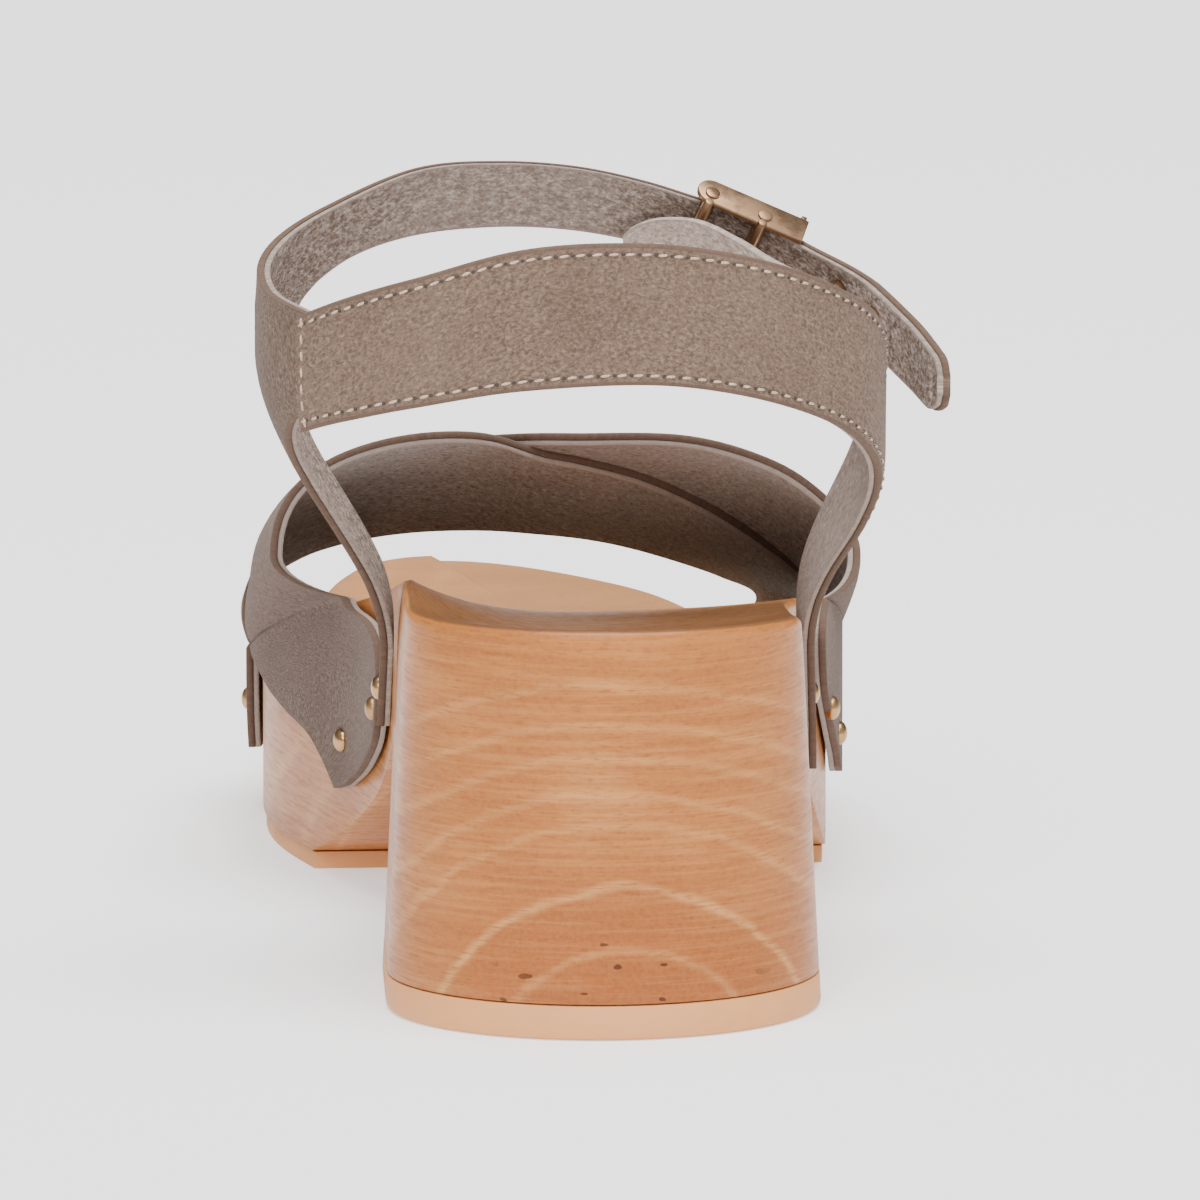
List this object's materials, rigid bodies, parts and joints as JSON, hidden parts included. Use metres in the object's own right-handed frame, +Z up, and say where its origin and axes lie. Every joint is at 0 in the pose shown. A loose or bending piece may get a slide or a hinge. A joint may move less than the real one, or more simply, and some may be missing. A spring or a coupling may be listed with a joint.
{
  "type": "wooden sole sandal",
  "caption": "High-heeled sandal for the right foot: carved wooden sole, crossed nailed suede front straps, a wide heel band and a buckled ankle strap.",
  "frame": {"origin": "middle of the heel tip's floor face, on the floor", "axes": "+Z up from the floor, +Y along the shoe to the toe, +X to the outer side of the right foot"},
  "size_m": [0.1182, 0.2559, 0.1399],
  "materials": {
    "alder_wood": "clear satin lacquer over end grain and side grain",
    "beige_rubber": "matt beige rubber",
    "tread_rubber": "matt beige rubber",
    "front_strap_suede": "napped suede with raw light edges",
    "heel_band_suede": "napped suede with a stitched lining",
    "ankle_strap_suede": "napped suede lining, outer face the same suede",
    "buckle_strap_suede": "napped suede",
    "buckle_brass": "pale brushed brass",
    "prong_brass": "pale brushed brass",
    "eyelet_brass": "pale brass",
    "nail_brass": "domed brass head"
  },
  "bodies": {
    "root": {"wooden_sole": "alder_wood", "heel_tip": "beige_rubber", "forefoot_outsole": "tread_rubber", "front_straps": "front_strap_suede", "heel_band": "heel_band_suede", "ankle_strap": "ankle_strap_suede", "buckle_strap": "buckle_strap_suede", "buckle_frame": "buckle_brass", "prong": "prong_brass", "eyelet_1": "eyelet_brass", "eyelet_2": "eyelet_brass", "nail_1": "nail_brass", "nail_2": "nail_brass", "nail_3": "nail_brass", "nail_4": "nail_brass", "nail_5": "nail_brass", "nail_6": "nail_brass", "nail_7": "nail_brass", "nail_8": "nail_brass", "nail_9": "nail_brass", "nail_10": "nail_brass"}
  },
  "joints": []
}
